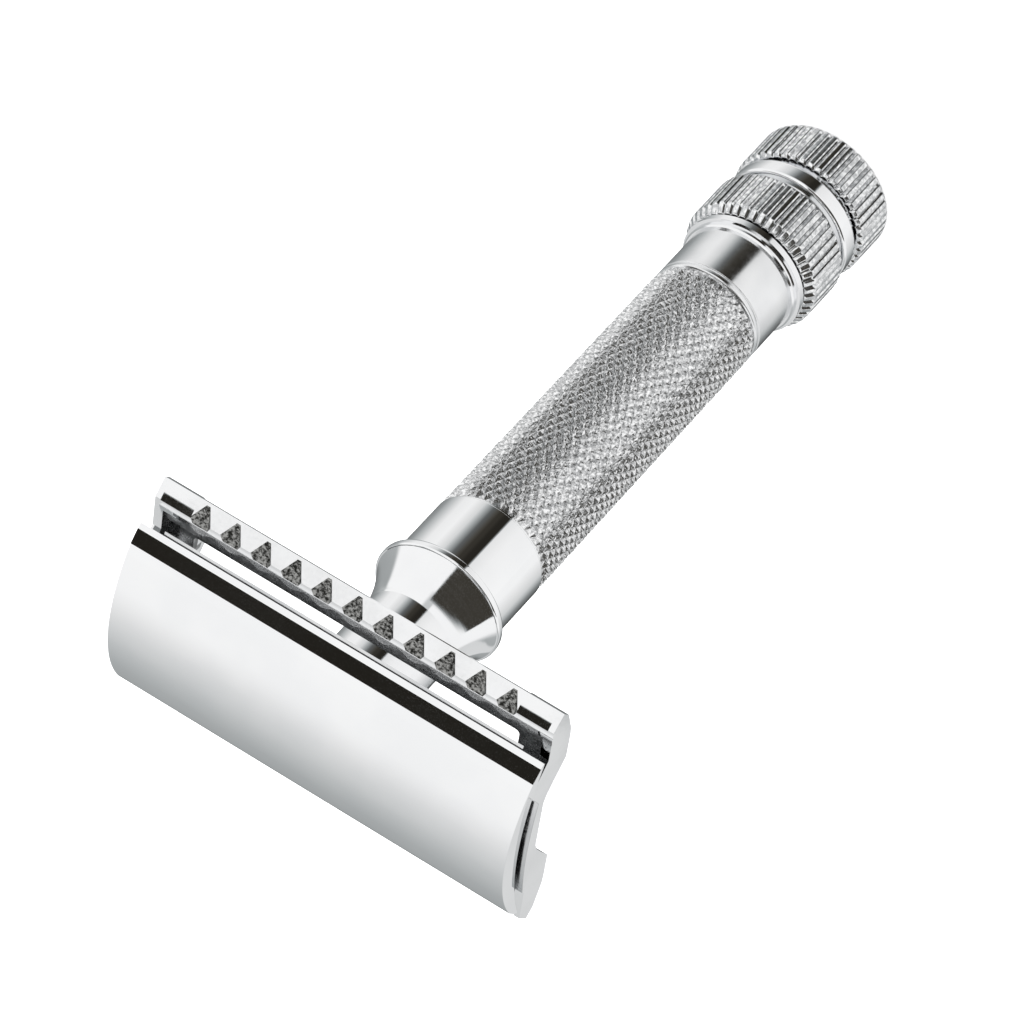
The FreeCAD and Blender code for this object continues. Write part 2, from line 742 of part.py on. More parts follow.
def make_upper_bush():
    """Brass bush that guides the socket in the neck."""
    top = "crown_height - spigot_reach"
    return tube("upper_bush", "socket_radius + running_clearance", "neck_bore", f"{top} - bush_length", top)


def make_lower_bush():
    """Brass bush that carries the rod in the tail of the grip."""
    top = "tail_height + lower_bush_length"
    return tube("lower_bush", "rod_radius + running_clearance", "barrel_bore", "tail_height", top)


def make_retaining_ring():
    """Ring in the rod's groove that keeps the rod in the grip."""
    foot = "tail_height + lower_bush_length + knob_gap"
    return tube("retaining_ring", "ring_groove_radius", "ring_radius", foot, f"{foot} + ring_thickness")


def make_spring_washer():
    """Conical spring washer between the knob and the lower bush."""
    body = new_body("spring_washer")
    foot = "knob_height + knob_gap"
    turn_profile(body, "washer", [
        ("rod_radius + 0.2", "tail_height - washer_thickness"),
        ("barrel_bore - 0.3", foot),
        ("barrel_bore - 0.2", f"{foot} + washer_thickness"),
        ("rod_radius + 0.3", "tail_height"),
    ])
    return body


def make_knob_screw():
    """Screw that holds the knob on the foot of the rod."""
    body = new_body("knob_screw")
    turn_profile(body, "screw", [
        ("0", "plug_thickness"),
        ("screw_head_radius", "plug_thickness"),
        ("screw_head_radius", "plug_thickness + screw_head_height"),
        ("screw_radius", "plug_thickness + screw_head_height"),
        ("screw_radius", "rod_foot_height + screw_reach - 0.3"),
        ("0", "rod_foot_height + screw_reach - 0.3"),
    ])
    return body


def make_knob_end_plug():
    """Disc that closes the foot of the knob, set just above its rim."""
    return tube("knob_end_plug", "0", "plug_radius", "0.05", "plug_thickness")


def is_sound(thing):
    """True when a body recomputed to a valid solid or group of solids."""
    broken = [item.Name for item in thing.Group + [thing] if {"Invalid", "Error"} & set(item.State)]
    if broken:
        print("broken features:", thing.Label, broken)
        return False
    return not thing.Shape.isNull() and thing.Shape.isValid() and len(thing.Shape.Solids) > 0


pieces = []
for make in (
    make_cap_plate, make_cap_stud, make_cap_pins, make_blade, make_base_plate, make_plate_spigot,
    make_neck_cone, make_rim_ring, make_grip_barrel, make_tail_ring, make_knob, make_knob_end_plug, make_knob_screw,
    make_draw_rod, make_draw_socket, make_socket_pin, make_upper_bush, make_lower_bush,
    make_retaining_ring, make_spring_washer,
):
    pieces.append(make())
doc.recompute()
unsound = [piece.Label for piece in pieces if not is_sound(piece)]
for piece in pieces:
    shape = piece.Shape
    print(piece.Label, len(shape.Solids), round(shape.Volume, 1), shape.optimalBoundingBox(False))
if unsound:
    raise SystemExit(f"these pieces did not build: {unsound}")
os.makedirs("parts", exist_ok=True)
for piece in pieces:
    piece.Shape.exportStep(f"parts/{piece.Label}.step")
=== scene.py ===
import math

import bmesh
import bpy
from mathutils import Matrix, Vector


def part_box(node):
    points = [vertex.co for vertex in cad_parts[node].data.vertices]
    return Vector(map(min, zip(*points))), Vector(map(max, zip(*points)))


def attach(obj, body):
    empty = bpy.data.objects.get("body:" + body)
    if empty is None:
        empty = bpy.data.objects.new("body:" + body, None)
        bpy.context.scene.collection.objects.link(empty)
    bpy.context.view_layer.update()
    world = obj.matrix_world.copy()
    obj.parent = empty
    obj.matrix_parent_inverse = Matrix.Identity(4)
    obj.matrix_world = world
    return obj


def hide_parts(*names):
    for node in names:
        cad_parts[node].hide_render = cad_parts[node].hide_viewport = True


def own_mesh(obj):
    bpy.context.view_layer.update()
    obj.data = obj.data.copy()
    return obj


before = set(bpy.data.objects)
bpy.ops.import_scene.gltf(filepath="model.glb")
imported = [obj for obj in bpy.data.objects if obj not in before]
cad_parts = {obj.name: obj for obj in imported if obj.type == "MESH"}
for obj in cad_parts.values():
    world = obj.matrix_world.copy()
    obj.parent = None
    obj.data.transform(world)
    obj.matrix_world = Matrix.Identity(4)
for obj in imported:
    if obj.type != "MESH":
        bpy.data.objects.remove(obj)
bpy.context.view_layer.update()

MM = 0.001
TURNS = 288

# cap and blade, in metres
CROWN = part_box("cap_plate")[1].z
CAP_RADIUS = 18.32 * MM
CAP_HOLLOW_RADIUS = 29.3 * MM
CAP_THICKNESS = 2.0 * MM
CAP_BEVEL = 1.06 * MM
CAP_BEVEL_DROP = 0.92 * MM
CAP_LIP = 0.54 * MM
CAP_LIP_WIDTH = 0.35 * MM
CAP_LAND = 0.6 * MM
CAP_LAND_RISE = 0.18 * MM
BLADE_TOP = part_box("blade")[1].z
BLADE_BEND = 38 * MM
BLADE_THICKNESS = 0.1 * MM
BLADE_GRIND = 1.1 * MM
BLADE_GRIND_SHARE = 0.42
BLADE_EDGE_REACH = 18.65 * MM
BLADE_TAB = 6.3 * MM
BLADE_SLOT_REACH = 14 * MM
BLADE_SLOT_HALF = 1.4 * MM
BLADE_EYE = 3.0 * MM
BLADE_PIN_EYE = 1.9 * MM
PIN_REACH = 11 * MM

# guard plate; its heights are measured down from the crown of the cap, or read from the frame
PLATE_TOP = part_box("base_plate")[1].z
PLATE_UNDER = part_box("neck_cone")[1].z
RIM_Z = CROWN - 5.22 * MM
BAR_INNER = 11.87 * MM
BAR_CREST = 13.12 * MM
BAR_FOOT_Z = CROWN - 6.55 * MM
BAR_BASE_Z = CROWN - 7.0 * MM
SHELF_INNER = 10.62 * MM
SHELF_Z = CROWN - 5.64 * MM
TRAY_INNER = 9.8 * MM
TRAY_Z = CROWN - 6.3 * MM
END_RIM = 1.0 * MM
END_SEAT_Z = CROWN - 3.4 * MM
END_SEAT_REACH = 18.8 * MM
SLOT_LENGTH = 34.0 * MM
SLOT_INNER = 6.4 * MM
SLOT_OUTER = 9.4 * MM
SLOT_CORNER = 0.5 * MM
SCALLOP = 0.25 * MM
SCALLOP_REACH = 17.4 * MM
RELIEF_START = 16.9 * MM
RELIEF_MARGIN = 0.65 * MM
SPIGOT_HOLE = 4.6 * MM
PIN_HOLE = 1.2 * MM
NOTCH_COUNT = 11
NOTCH_PITCH = 3.18 * MM
NOTCH_REACH = 0.66 * MM
NOTCH_FLARE = 1.3
NOTCH_DIP = 0.32 * MM
CLEAR = 2 * MM

# handle and knob
NECK_BORE = 3.7 * MM
NECK_WAIST = 4.6 * MM
NECK_TAIL = 4.9 * MM
COLLAR_LENGTH = 7.3 * MM
BAND_RADIUS = 5.75 * MM
BAND_LENGTH = 6.0 * MM
BARREL_BORE = 4.4 * MM
TAIL_SPIGOT = 5.3 * MM
KNURL_COLUMNS = 38
KNURL_ROW = 0.82 * MM
KNURL_DEPTH = 0.34 * MM
KNURL_FLAT = 0.2
BAND_ONE = 8.0 * MM
BAND_TWO = 4.8 * MM
KNOB_RING = 6.75 * MM
KNOB_RING_FOOT = BAND_TWO + 0.45 * MM
KNOB_RING_TOP = KNOB_RING_FOOT + 1.9 * MM
KNOB_GROOVE = 5.9 * MM
KNOB_BORE = 2.5 * MM
PLUG_RADIUS = 3.3 * MM
FLUTE_COUNT = 47
FLUTE_DEPTH = 0.28 * MM
FLUTE_SHARE = 0.56


# ---------------------------------------------------------------- mesh helpers

def arc_points(centre, radius, start, end, steps):
    """Points of an arc from one angle to another, in degrees, both ends included."""
    points = []
    for step in range(steps + 1):
        angle = math.radians(start + (end - start) * step / steps)
        points.append((centre[0] + radius * math.cos(angle), centre[1] + radius * math.sin(angle)))
    return points


def soften(points, radii, steps=4):
    """Round the corners of a closed outline. radii is one radius, or one for each corner."""
    count = len(points)
    if not isinstance(radii, (list, tuple)):
        radii = [radii] * count
    outline = []
    for index, corner in enumerate(points):
        corner = Vector(corner)
        before = Vector(points[index - 1]) - corner
        after = Vector(points[(index + 1) % count]) - corner
        radius = radii[index]
        opening = before.angle(after)
        if radius <= 0 or opening > math.radians(179.5):
            outline.append(tuple(corner))
            continue
        reach = radius / math.tan(opening / 2)
        reach = min(reach, before.length * 0.45, after.length * 0.45)
        first = corner + before.normalized() * reach
        last = corner + after.normalized() * reach
        for step in range(steps + 1):
            share = step / steps
            point = first.lerp(corner, share).lerp(corner.lerp(last, share), share)
            outline.append(tuple(point))
    return outline


def build_mesh(name, verts, faces, sharp_above=38):
    """A smooth-shaded object from plain lists, with edges over an angle kept sharp."""
    mesh = bpy.data.meshes.new(name)
    mesh.from_pydata(verts, [], faces)
    mesh.validate()
    tidy = bmesh.new()
    tidy.from_mesh(mesh)
    bmesh.ops.recalc_face_normals(tidy, faces=tidy.faces)
    tidy.to_mesh(mesh)
    tidy.free()
    thing = bpy.data.objects.new(name, mesh)
    bpy.context.scene.collection.objects.link(thing)
    shade(thing, sharp_above)
    return thing


def shade(thing, sharp_above=38):
    """Smooth shading with sharp edges above an angle in degrees."""
    mesh = thing.data
    mesh.polygons.foreach_set("use_smooth", [True] * len(mesh.polygons))
    mesh.set_sharp_from_angle(angle=math.radians(sharp_above))


def weigh_normals(thing):
    """Let large faces lead the shading, so that flats stay flat beside their rounded edges."""
    weigh = thing.modifiers.new("weighted", "WEIGHTED_NORMAL")
    weigh.keep_sharp = True
    weigh.mode = "FACE_AREA"
    apply_modifiers(thing)


def apply_modifiers(thing):
    """Replace a mesh by its evaluated form."""
    graph = bpy.context.evaluated_depsgraph_get()
    graph.update()
    done = bpy.data.meshes.new_from_object(thing.evaluated_get(graph), depsgraph=graph)
    thing.modifiers.clear()
    thing.data = done


def lathe(name, profile, turns=TURNS, sharp_above=38, radius_of=None):
    """Solid of revolution about Z from a closed outline of (radius, height) points."""
    verts = []
    for turn in range(turns):
        angle = 2 * math.pi * turn / turns
        for radius, height in profile:
            if radius_of:
                radius = radius_of(radius, height, angle)
            verts.append((radius * math.cos(angle), radius * math.sin(angle), height))
    count = len(profile)
    faces = []
    for turn in range(turns):
        this, following = turn * count, (turn + 1) % turns * count
        for index in range(count):
            step = (index + 1) % count
            if profile[index][0] < 1e-9 and profile[step][0] < 1e-9:
                continue
            faces.append((this + index, following + index, following + step, this + step))
    thing = build_mesh(name, verts, faces, sharp_above)
    merge_close(thing)
    shade(thing, sharp_above)
    return thing


def merge_close(thing, distance=1e-7):
    """Join vertices that coincide, as at the seam of a lathe."""
    tidy = bmesh.new()
    tidy.from_mesh(thing.data)
    bmesh.ops.remove_doubles(tidy, verts=tidy.verts, dist=distance)
    bmesh.ops.recalc_face_normals(tidy, faces=tidy.faces)
    tidy.to_mesh(thing.data)
    tidy.free()


def prism(name, outline, low, high, axis="X", sharp_above=38):
    """A closed outline pulled along an axis. The outline is (Y, Z) for X and (X, Y) for Z."""
    count = len(outline)
    verts = []
    for along in (low, high):
        for across, up in outline:
            verts.append((along, across, up) if axis == "X" else (across, up, along))
    faces = [tuple(range(count)), tuple(range(count, 2 * count))]
    for index in range(count):
        step = (index + 1) % count
        faces.append((index, step, count + step, count + index))
    return build_mesh(name, verts, faces, sharp_above)


def cut(thing, cutter):
    """Subtract one mesh from another."""
    boolean = thing.modifiers.new("cut", "BOOLEAN")
    boolean.operation = "DIFFERENCE"
    boolean.solver = "EXACT"
    boolean.object = cutter
    apply_modifiers(thing)
    bpy.data.objects.remove(cutter)


def join(name, things):
    """One mesh object from several."""
    joined = bmesh.new()
    for thing in things:
        thing.data.transform(thing.matrix_world)
        joined.from_mesh(thing.data)
        bpy.data.objects.remove(thing)
    mesh = bpy.data.meshes.new(name)
    joined.to_mesh(mesh)
    joined.free()
    result = bpy.data.objects.new(name, mesh)
    bpy.context.scene.collection.objects.link(result)
    return result


def round_edges(thing, width, segments=2, angle=28):
    """Bevel the hard edges of a mesh."""
    bevel = thing.modifiers.new("edges", "BEVEL")
    bevel.width = width
    bevel.segments = segments
    bevel.limit_method = "ANGLE"
    bevel.angle_limit = math.radians(angle)
    bevel.use_clamp_overlap = True
    bevel.miter_outer = "MITER_ARC"
    apply_modifiers(thing)


def disc_outline(centre_x, centre_y, radius, steps=48):
    """A circle as a closed outline."""
    return arc_points((centre_x, centre_y), radius, 0, 360 - 360 / steps, steps - 1)


def mirror_outline(right):
    """A closed outline from its right half, listed from the middle outwards and back to the middle."""
    left = [(-across, up) for across, up in reversed(right) if across > 1e-9]
    return right + left


# ---------------------------------------------------------------- materials

class Nodes:
    """Short names for building a shader's node tree."""

    def __init__(self, tree):
        self.tree = tree
        tree.nodes.clear()

    def add(self, kind, **settings):
        """A new node with some of its settings."""
        node = self.tree.nodes.new(kind)
        for key, value in settings.items():
            setattr(node, key, value)
        return node

    def link(self, output, target):
        """Feed a socket from another socket, or set it to a number."""
        if isinstance(output, (int, float)):
            target.default_value = output
        else:
            self.tree.links.new(output, target)

    def math(self, operation, first, second=0.0, third=0.0):
        """A math node; its inputs are sockets or numbers."""
        node = self.add("ShaderNodeMath", operation=operation)
        for value, socket in zip((first, second, third), node.inputs):
            self.link(value, socket)
        return node.outputs[0]

    def product(self, first, *others):
        """Several values multiplied together."""
        result = first
        for other in others:
            result = self.math("MULTIPLY", result, other)
        return result

    def span(self, value, low, high, to_low=0.0, to_high=1.0, smooth=True):
        """Map a value from one range to another, clamped."""
        node = self.add("ShaderNodeMapRange")
        node.interpolation_type = "SMOOTHSTEP" if smooth else "LINEAR"
        for key, number in (("Value", value), ("From Min", low), ("From Max", high),
                            ("To Min", to_low), ("To Max", to_high)):
            self.link(number, node.inputs[key])
        return node.outputs["Result"]

    def blend(self, share, first, second):
        """Mix two colours, each a socket or three numbers."""
        node = self.add("ShaderNodeMix", data_type="RGBA")
        self.link(share, node.inputs["Factor"])
        for value, socket in ((first, node.inputs["A"]), (second, node.inputs["B"])):
            if isinstance(value, tuple):
                socket.default_value = (*value, 1)
            else:
                self.tree.links.new(value, socket)
        return node.outputs["Result"]

    def noise(self, vector, scale, detail=3.0, roughness=0.55):
        """A noise value; scale is its cells per metre."""
        node = self.add("ShaderNodeTexNoise")
        self.tree.links.new(vector, node.inputs["Vector"])
        node.inputs["Scale"].default_value = scale
        node.inputs["Detail"].default_value = detail
        node.inputs["Roughness"].default_value = roughness
        return node.outputs["Fac"]

    def bump(self, height, distance, strength=1.0, normal=None):
        """A normal raised by a height, on top of another normal where one is given."""
        node = self.add("ShaderNodeBump")
        node.inputs["Strength"].default_value = strength
        node.inputs["Distance"].default_value = distance
        self.tree.links.new(height, node.inputs["Height"])
        if normal:
            self.tree.links.new(normal, node.inputs["Normal"])
        return node.outputs["Normal"]


def metal(name, light, dark, gloss, rings=0.0, streaks=0.0, grain=0.0, speckle=140, valley_shade=None):
    """A metal whose colour, roughness and relief vary.

    light and dark are its two tones, gloss its roughness range. rings is the depth of turned lines round
    the Z axis, streaks of lines along X, grain of a coarse cast skin, speckle the fineness of the two tones'
    pattern. The last argument gives the two radii between which hollows are darkened with painted shade, and
    how much."""
    material = bpy.data.materials.new(name)
    material.use_nodes = True
    build = Nodes(material.node_tree)
    place = build.add("ShaderNodeTexCoord").outputs["Object"]
    broad = build.noise(place, speckle, 2)
    fine = build.noise(place, 2600, 4)
    tone = build.blend(build.span(broad, 0.35, 0.65), light, dark)
    mottle = build.math("ADD", build.math("MULTIPLY", broad, 0.6), build.math("MULTIPLY", fine, 0.4))
    rough = build.span(mottle, 0.35, 0.65, gloss[0], gloss[1])
    normal = build.bump(fine, 0.0000015, 0.35)
    if grain:
        normal = build.bump(build.noise(place, 3800, 1), grain, 1.0, normal)
    if rings or streaks:
        stretch = build.add("ShaderNodeMapping")
        build.link(place, stretch.inputs["Vector"])
        stretch.inputs["Scale"].default_value = (30, 30, 9000) if rings else (30, 9000, 9000)
        lines = build.noise(stretch.outputs[0], 1.0, 5, 0.7)
        normal = build.bump(lines, rings or streaks, 1.0, normal)
        rough = build.math("ADD", rough, build.span(lines, 0.4, 0.75, 0.0, 0.08))
    # painted shade: hollows between two radii are darkened towards a dark grey, where shade falls in the
    # knurl's grooves
    if valley_shade:
        parts = build.add("ShaderNodeSeparateXYZ")
        build.link(place, parts.inputs[0])
        across = build.math("POWER", parts.outputs[0], 2.0)
        along = build.math("POWER", parts.outputs[1], 2.0)
        radius = build.math("SQRT", build.math("ADD", across, along))
        hollow = build.span(radius, valley_shade[0], valley_shade[1], 1.0, 0.0)
        tone = build.blend(build.math("MULTIPLY", hollow, valley_shade[2]), tone, (0.16, 0.16, 0.155))
    shader = build.add("ShaderNodeBsdfPrincipled")
    shader.inputs["Metallic"].default_value = 1.0
    shader.inputs["IOR"].default_value = 1.5
    build.link(tone, shader.inputs["Base Color"])
    build.link(rough, shader.inputs["Roughness"])
    build.link(normal, shader.inputs["Normal"])
    build.link(shader.outputs[0], build.add("ShaderNodeOutputMaterial").inputs["Surface"])
    return material


def make_materials():
    """Every metal of the razor, by name."""
    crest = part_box("grip_barrel")[1].x
    return {
        "mirror": metal("mirror_chrome", (0.915, 0.92, 0.925), (0.885, 0.892, 0.90), (0.015, 0.05)),
        "turned": metal("turned_chrome", (0.91, 0.915, 0.92), (0.875, 0.88, 0.89), (0.02, 0.07),
                        rings=0.000002),
        "satin": metal("satin_chrome", (0.89, 0.895, 0.90), (0.78, 0.79, 0.80), (0.12, 0.2),
                       rings=0.000002),
        # the knurl's random tones are its own; its grooves get painted shade, darker below the crest
        "knurl": metal("knurled_chrome", (0.99, 0.992, 0.995), (0.5, 0.505, 0.51), (0.12, 0.3),
                       grain=0.00004, speckle=4200, valley_shade=(crest - 0.36 * MM, crest - 0.05 * MM, 0.06)),
        "fluted": metal("fluted_chrome", (0.905, 0.91, 0.915), (0.56, 0.57, 0.58), (0.07, 0.2),
                        grain=0.000008, speckle=2400),
        "guard": metal("cast_chrome", (0.905, 0.91, 0.915), (0.86, 0.865, 0.87), (0.03, 0.1)),
        # painted shade: the notches' metal is darkened to near black, where shade falls in them
        "notch": metal("notch_painted_shade", (0.34, 0.34, 0.33), (0.02, 0.02, 0.018), (0.12, 0.34),
                       grain=0.00005, speckle=3400),
        # painted shade: the trays' metal is darkened to grey, where shade falls in the recess
        "tray_shade": metal("tray_painted_shade", (0.42, 0.425, 0.43), (0.20, 0.203, 0.207), (0.22, 0.38),
                        speckle=900),
        # painted shade, lighter: the tray's far end gets less darkening than the rest of the tray
        "far_tray_shade": metal("far_tray_painted_shade", (0.88, 0.885, 0.89), (0.5, 0.505, 0.51), (0.3, 0.5),
                      speckle=2200),
        "blade": metal("blade_steel", (0.74, 0.745, 0.75), (0.62, 0.63, 0.64), (0.12, 0.26),
                       streaks=0.000002),
        "steel": metal("turned_steel", (0.66, 0.665, 0.67), (0.52, 0.53, 0.54), (0.18, 0.34),
                       rings=0.000004),
        "brass": metal("turned_brass", (0.83, 0.66, 0.34), (0.70, 0.53, 0.25), (0.16, 0.32),
                       rings=0.000004),
    }


def dress(thing, material):
    """Give an object one material on every face."""
    thing.data.materials.clear()
    thing.data.materials.append(material)
    for face in thing.data.polygons:
        face.material_index = 0


def place_piece(thing, material, body, nodes):
    """Finish a piece: its material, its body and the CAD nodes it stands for."""
    dress(thing, material)
    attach(thing, body)
    if nodes:
        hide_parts(*nodes)
    return thing


# ---------------------------------------------------------------- head

def arc_drop(radius, across):
    """How far an arc falls below its middle at a distance from it."""
    return radius - math.sqrt(radius ** 2 - across ** 2)


def make_cap(materials):
    """Domed cap: polished crown, a flat bevel along each long edge and a thin lip under it."""
    low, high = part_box("cap_plate")
    half = high.y
    bevel_end = half - CAP_LIP_WIDTH
    bevel_start = bevel_end - CAP_BEVEL
    steps = 56
    crown = []
    for step in range(steps + 1):
        across = bevel_start * step / steps
        crown.append((across, CROWN - arc_drop(CAP_RADIUS, across)))
    bevel_foot = crown[-1][1] - CAP_BEVEL_DROP
    lip_foot = bevel_foot - CAP_LIP
    land = half - CAP_LAND
    land_top = lip_foot + CAP_LAND_RISE
    top = CROWN - CAP_THICKNESS
    hollow = []
    for step in range(steps + 1):
        across = land * (1 - step / steps)
        rise = arc_drop(CAP_HOLLOW_RADIUS, across) / arc_drop(CAP_HOLLOW_RADIUS, land)
        hollow.append((across, top - (top - land_top) * rise))
    edge = 0.05 * MM
    lip = soften([crown[-1], (bevel_end, bevel_foot), (half, lip_foot), (land, land_top), hollow[1]],
                 [0, 0.02 * MM, edge, 0, 0], 3)[1:-2]
    outline = mirror_outline(crown + lip + hollow)
    cap = prism("cap", outline, low.x, high.x, sharp_above=30)
    draft_ends(cap, lip_foot)
    round_edges(cap, 0.09 * MM, 3, 50)
    shade(cap, 5.5)
    soften_sharp_ends(cap.data, low.x, high.x)
    weigh_normals(cap)
    return place_piece(cap, materials["mirror"], "cap", ["cap_plate"])


def draft_ends(thing, foot):
    """Lean both end faces in by a degree and a half, as on a casting."""
    lean = math.tan(math.radians(1.5))
    for vert in thing.data.vertices:
        vert.co.x -= math.copysign(max(0.0, vert.co.z - foot) * lean, vert.co.x)


def soften_sharp_ends(mesh, low, high):
    """Keep the rounded edges of the two ends smooth: only lines that run along X stay sharp."""
    sharp = mesh.attributes["sharp_edge"]
    for edge in mesh.edges:
        first, second = (mesh.vertices[index].co for index in edge.vertices)
        if abs(first.x - second.x) < (high - low) * 0.5:
            sharp.data[edge.index].value = False


def seat_height(across, top):
    """Height of the blade's bend at a distance from the middle."""
    return top - arc_drop(BLADE_BEND, across)


def blade_face(half, top, inset):
    """Points of one face of the blade, from the middle to the edge, ground away by inset at the edge."""
    steps = 40
    face = []
    for step in range(steps + 1):
        across = half * step / steps
        ground = max(0.0, (across - (half - BLADE_GRIND)) / BLADE_GRIND)
        face.append((across, seat_height(across, top) + ground * inset))
    return face


def blade_corners(half, low, high):
    """Cutters for the four corners, which leave a narrower tab at each end."""
    over = 4 * MM
    corners = []
    for end in (1, -1):
        for side in (1, -1):
            inner, outer = end * BLADE_EDGE_REACH, end * (high.x + over)
            near, far = side * BLADE_TAB, side * (half + over)
            outline = soften([(inner, near), (outer, near), (outer, far), (inner, far)],
                             [0.6 * MM, 0, 0, 0.6 * MM], 5)
            corners.append(prism("trim", outline, low.z - over, high.z + over, "Z"))
    return join("trims", corners)


def make_blade(materials):
    """Double-edge blade bent over the plate, ground thin at both edges."""
    low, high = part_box("blade")
    half = high.y
    thinning = BLADE_THICKNESS * BLADE_GRIND_SHARE
    upper = blade_face(half, BLADE_TOP, -thinning)
    lower = blade_face(half, BLADE_TOP - BLADE_THICKNESS, thinning)
    blade = prism("blade_sheet", mirror_outline(upper + lower[::-1]), low.x, high.x, sharp_above=20)
    cut(blade, blade_corners(half, low, high))
    over = 4 * MM
    reach, side = BLADE_SLOT_REACH, BLADE_SLOT_HALF
    slot = soften([(-reach, -side), (reach, -side), (reach, side), (-reach, side)], 1.35 * MM, 8)
    cut(blade, prism("slot", slot, low.z - over, high.z + over, "Z"))
    eyes = []
    for along, radius in ((0, BLADE_EYE), (PIN_REACH, BLADE_PIN_EYE), (-PIN_REACH, BLADE_PIN_EYE)):
        eyes.append(prism("eye", disc_outline(along, 0, radius), low.z - over, high.z + over, "Z"))
    cut(blade, join("eyes", eyes))
    shade(blade, 20)
    place_piece(blade, materials["blade"], "blade", ["blade"])
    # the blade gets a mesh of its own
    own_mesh(blade)
    return blade


def plate_outline(low, high):
    """Section of the guard plate before it is hollowed: crowned seat, bar with a flat crest and a steep
    outer face, and the deep end block below."""
    half = high.y
    seat = []
    steps = 24
    for step in range(steps + 1):
        across = SLOT_INNER * step / steps
        seat.append((across, seat_height(across, PLATE_TOP)))
    outer = [
        (SLOT_OUTER, RIM_Z),
        (BAR_CREST, RIM_Z),
        (half, BAR_FOOT_Z),
        (half - 0.9 * MM, BAR_FOOT_Z - 0.85 * MM),
        (half - 3.5 * MM, low.z + 0.1 * MM),
        (half - 4.5 * MM, low.z),
        (7.0 * MM, low.z),
        (5.2 * MM, PLATE_UNDER - 1.25 * MM),
        (3.9 * MM, PLATE_UNDER - 0.35 * MM),
        (3.0 * MM, PLATE_UNDER),
        (0, PLATE_UNDER),
    ]
    return mirror_outline(seat + outer)


def across_sides(name, outline, low, high):
    """The same cutter on both sides of the plate, along X."""
    right = prism(name, outline, low, high)
    left = prism(name, [(-across, up) for across, up in outline], low, high)
    return join(name, [right, left])


def tray_cutter(high):
    """The hollow between the seat and the bars, inside the end rims."""
    reach = high.x - END_RIM
    shelf_edge = BAR_INNER - SCALLOP
    outline = [(SLOT_INNER, CROWN), (SLOT_INNER, TRAY_Z), (TRAY_INNER, TRAY_Z), (SHELF_INNER, SHELF_Z),
               (shelf_edge, RIM_Z - 0.3 * MM), (shelf_edge, CROWN)]
    return across_sides("tray", outline, -reach, reach)


def scallop_cutter(high):
    """A wavy wall along the inner edge of each bar: it bulges inwards at the notches."""
    reach = high.x - END_RIM
    steps = 240
    wave = []
    for step in range(steps + 1):
        along = -reach + 2 * reach * step / steps
        swell = math.cos(2 * math.pi * along / NOTCH_PITCH) if abs(along) < SCALLOP_REACH else 0.0
        wave.append((along, BAR_INNER - SCALLOP * swell))
    outline = [(-reach, SLOT_OUTER), (reach, SLOT_OUTER)] + wave[::-1]
    low, top = RIM_Z - 0.34 * MM, CROWN
    near = prism("scallop", outline, low, top, "Z")
    far = prism("scallop", [(along, -across) for along, across in outline], low, top, "Z")
    return join("scallops", [near, far])


def crest_relief_cutter(low_x, high_x):
    """A short chamfer on the crest of each bar, between two places along it."""
    start = Vector((BAR_CREST - 0.13 * MM, RIM_Z))
    finish = Vector((BAR_CREST + 0.3 * MM, RIM_Z - 0.335 * MM))
    way = (finish - start).normalized() * MM
    outline = [tuple(start - way), tuple(finish + way), (BAR_CREST + 2 * MM, RIM_Z + MM)]
    return across_sides("crest_relief", outline, low_x, high_x)


def notch_places():
    """Middle of every notch, along X."""
    return [(index - (NOTCH_COUNT - 1) / 2) * NOTCH_PITCH for index in range(NOTCH_COUNT)]


def notch_cutters(half):
    """Tapered notches for both bars. A notch starts on the flat, is deepest at the crest and closes in to
    end just short of the bar's outer edge."""
    outer = half - 0.22 * MM
    surface = RIM_Z + (BAR_FOOT_Z - RIM_Z) * (outer - BAR_CREST) / (half - BAR_CREST)
    stations = [
        (BAR_CREST - 0.7 * MM, NOTCH_REACH + 0.12 * MM, RIM_Z + 0.02 * MM),
        (BAR_CREST, NOTCH_REACH, RIM_Z - NOTCH_DIP),
        (outer, 0.18 * MM, surface - 0.01 * MM),
    ]
    rise = 2.0 * MM
    cutters = []
    for side in (-1, 1):
        for centre in notch_places():
            verts = []
            for across, reach, floor in stations:
                spread = reach + NOTCH_FLARE * rise
                top = floor + rise
                for along, up in ((-reach, floor), (reach, floor), (spread, top), (-spread, top)):
                    verts.append((centre + along, side * across, up))
            faces = [(0, 1, 2, 3), (8, 9, 10, 11)]
            for station in range(2):
                first = station * 4
                for corner in range(4):
                    step = (corner + 1) % 4
                    faces.append((first + corner, first + step, first + 4 + step, first + 4 + corner))
            cutters.append(build_mesh("notch", verts, faces))
    return join("notches", cutters)


def in_notch(face, half):
    """True for a face of a notch: its floor or one of its walls."""
    place = face.center
    away = min(abs(place.x - centre) for centre in notch_places())
    across = abs(place.y)
    if away > 1.3 * MM or not BAR_INNER < across < half - 0.05 * MM or place.z < BAR_FOOT_Z:
        return False
    share = max(0.0, (across - BAR_CREST) / (half - BAR_CREST))
    surface = RIM_Z + (BAR_FOOT_Z - RIM_Z) * share
    if not surface - 0.9 * MM < place.z < surface - 0.02 * MM:
        return False
    return across > BAR_CREST - 0.72 * MM


def in_tray(place, high):
    """True for a point on the floor or the walls of a tray."""
    within = SLOT_INNER + 0.1 * MM < abs(place.y) < BAR_INNER + SCALLOP + 0.02 * MM
    between_rims = abs(place.x) < high.x - END_RIM + 0.05 * MM
    below_rim = TRAY_Z - MM < place.z < RIM_Z - 0.02 * MM
    return within and between_rims and below_rim


